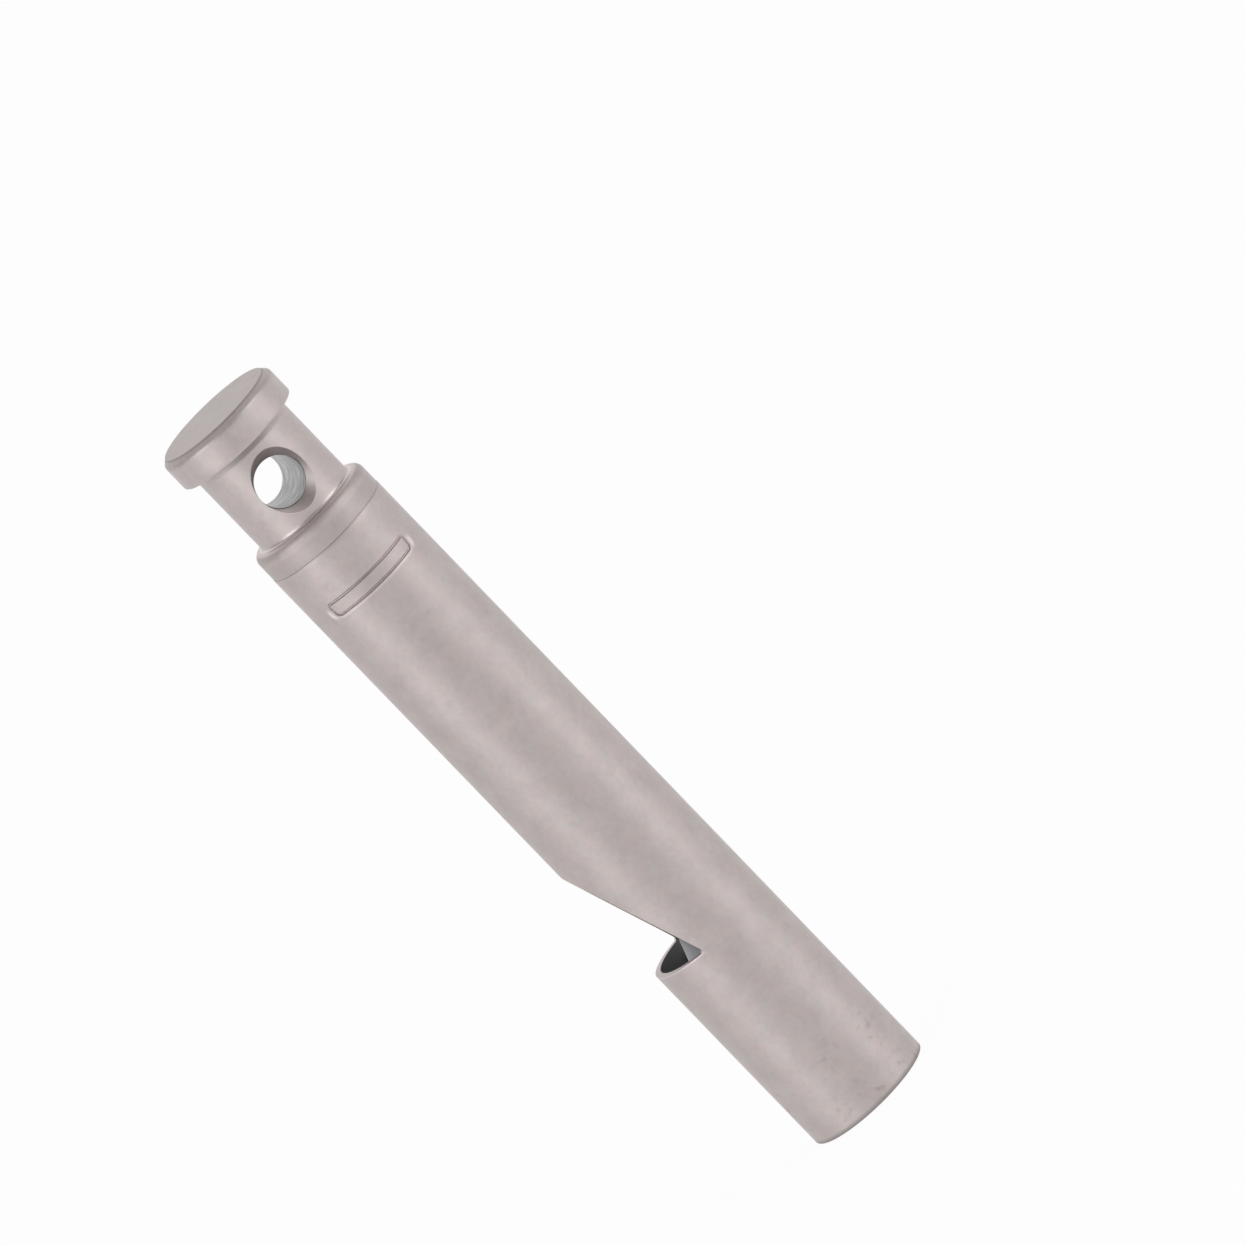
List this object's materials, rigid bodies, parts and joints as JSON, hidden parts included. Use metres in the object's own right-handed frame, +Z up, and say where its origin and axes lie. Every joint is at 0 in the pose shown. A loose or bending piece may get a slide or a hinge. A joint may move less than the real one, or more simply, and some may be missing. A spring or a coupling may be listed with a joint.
{
  "type": "survival whistle",
  "caption": "Slim tubular survival whistle in bead-blasted titanium, with a slanted window near the mouth end and a turned head that has a cross hole for a lanyard.",
  "frame": {"origin": "centre of the mouth end, at the bottom of the standing whistle", "axes": "+Z up the tube's axis from the mouth end to the head; -X is the side of the window; the blank engraved frame is on the -Y side"},
  "size_m": [0.01, 0.01, 0.0673],
  "materials": {
    "blasted_titanium": "bead-blasted, matte, warm grey",
    "bare_titanium": "machined, satin, neutral grey"
  },
  "bodies": {
    "root": {"body_tube": "blasted_titanium", "head_plug": "blasted_titanium", "fipple_block": "bare_titanium"}
  },
  "joints": []
}
